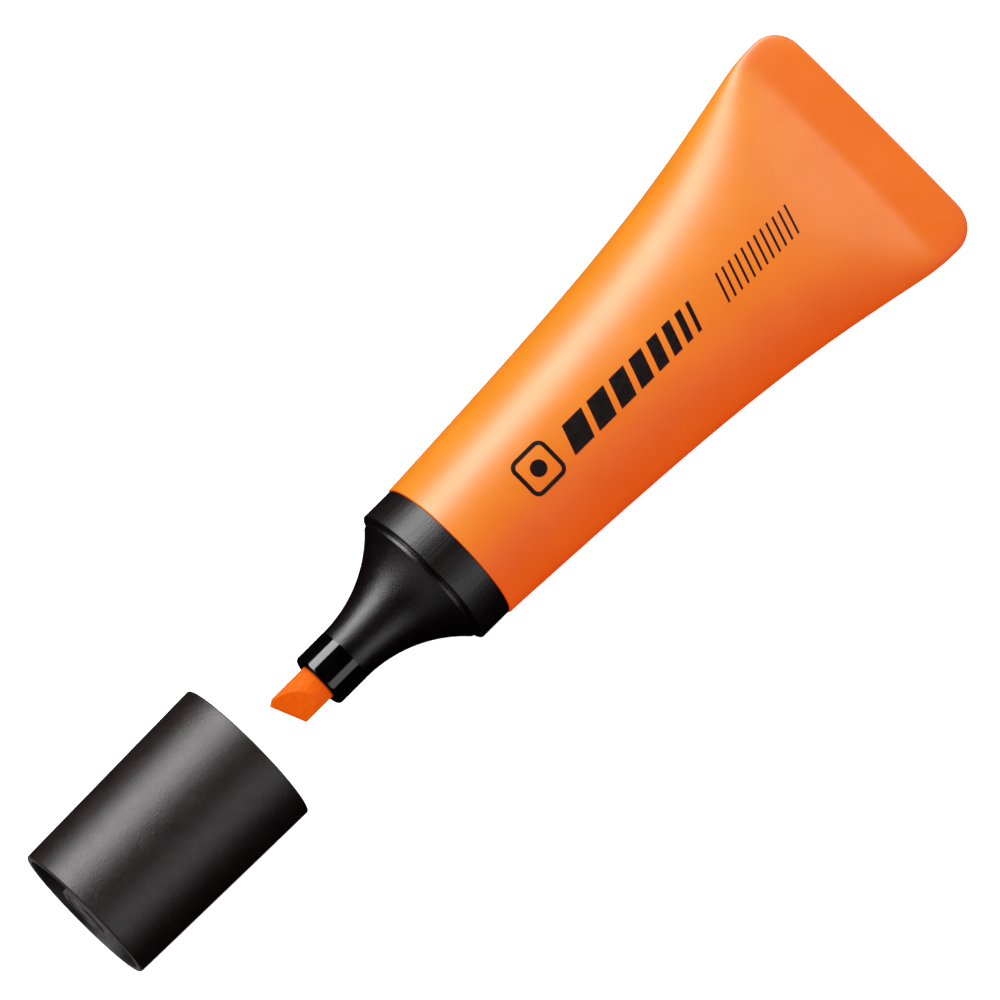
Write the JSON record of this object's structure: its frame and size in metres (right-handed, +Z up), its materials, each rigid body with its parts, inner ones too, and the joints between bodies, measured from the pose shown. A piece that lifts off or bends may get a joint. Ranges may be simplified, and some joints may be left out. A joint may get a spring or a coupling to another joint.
{
  "type": "capped highlighter",
  "caption": "Highlighter with a soft body shaped like a squeezed tube, a black collar and nozzle, a slanted chisel nib and a pull-off cap standing in front of it.",
  "frame": {"origin": "middle of the object's outline on the plane that it lies on, with the cap standing in front of the nib", "axes": "+X along the pen from the flat tail to the cap, +Y across the flat tail, +Z up"},
  "size_m": [0.142, 0.0368, 0.0212],
  "materials": {
    "tube_orange": "soft-touch orange, fine satin grain",
    "black_satin": "moulded black with a fine satin grain",
    "black_gloss": "polished black",
    "black_inner": "plain black moulding",
    "nib_felt": "bonded fibre soaked with orange ink",
    "inner_white": "natural white polypropylene",
    "wrap_film": "thin clear film",
    "ink_fibre": "fibre bundle full of ink"
  },
  "bodies": {
    "pen": {"tube_body": "tube_orange", "neck_insert": "inner_white", "collar_ring": "black_satin", "nozzle": "black_satin", "nib_holder": "black_gloss", "nib": "nib_felt", "reservoir_barrel": "inner_white", "reservoir_plug": "inner_white", "core_wrap": "wrap_film", "ink_core": "ink_fibre"},
    "cap": {"cap_shell": "black_satin", "cap_liner": "black_inner"}
  },
  "joints": [
    {"name": "cap_slide", "type": "slide", "parent": "pen", "child": "cap", "axis": [1, 0, 0], "range_m": [-0.0309, 0]}
  ]
}
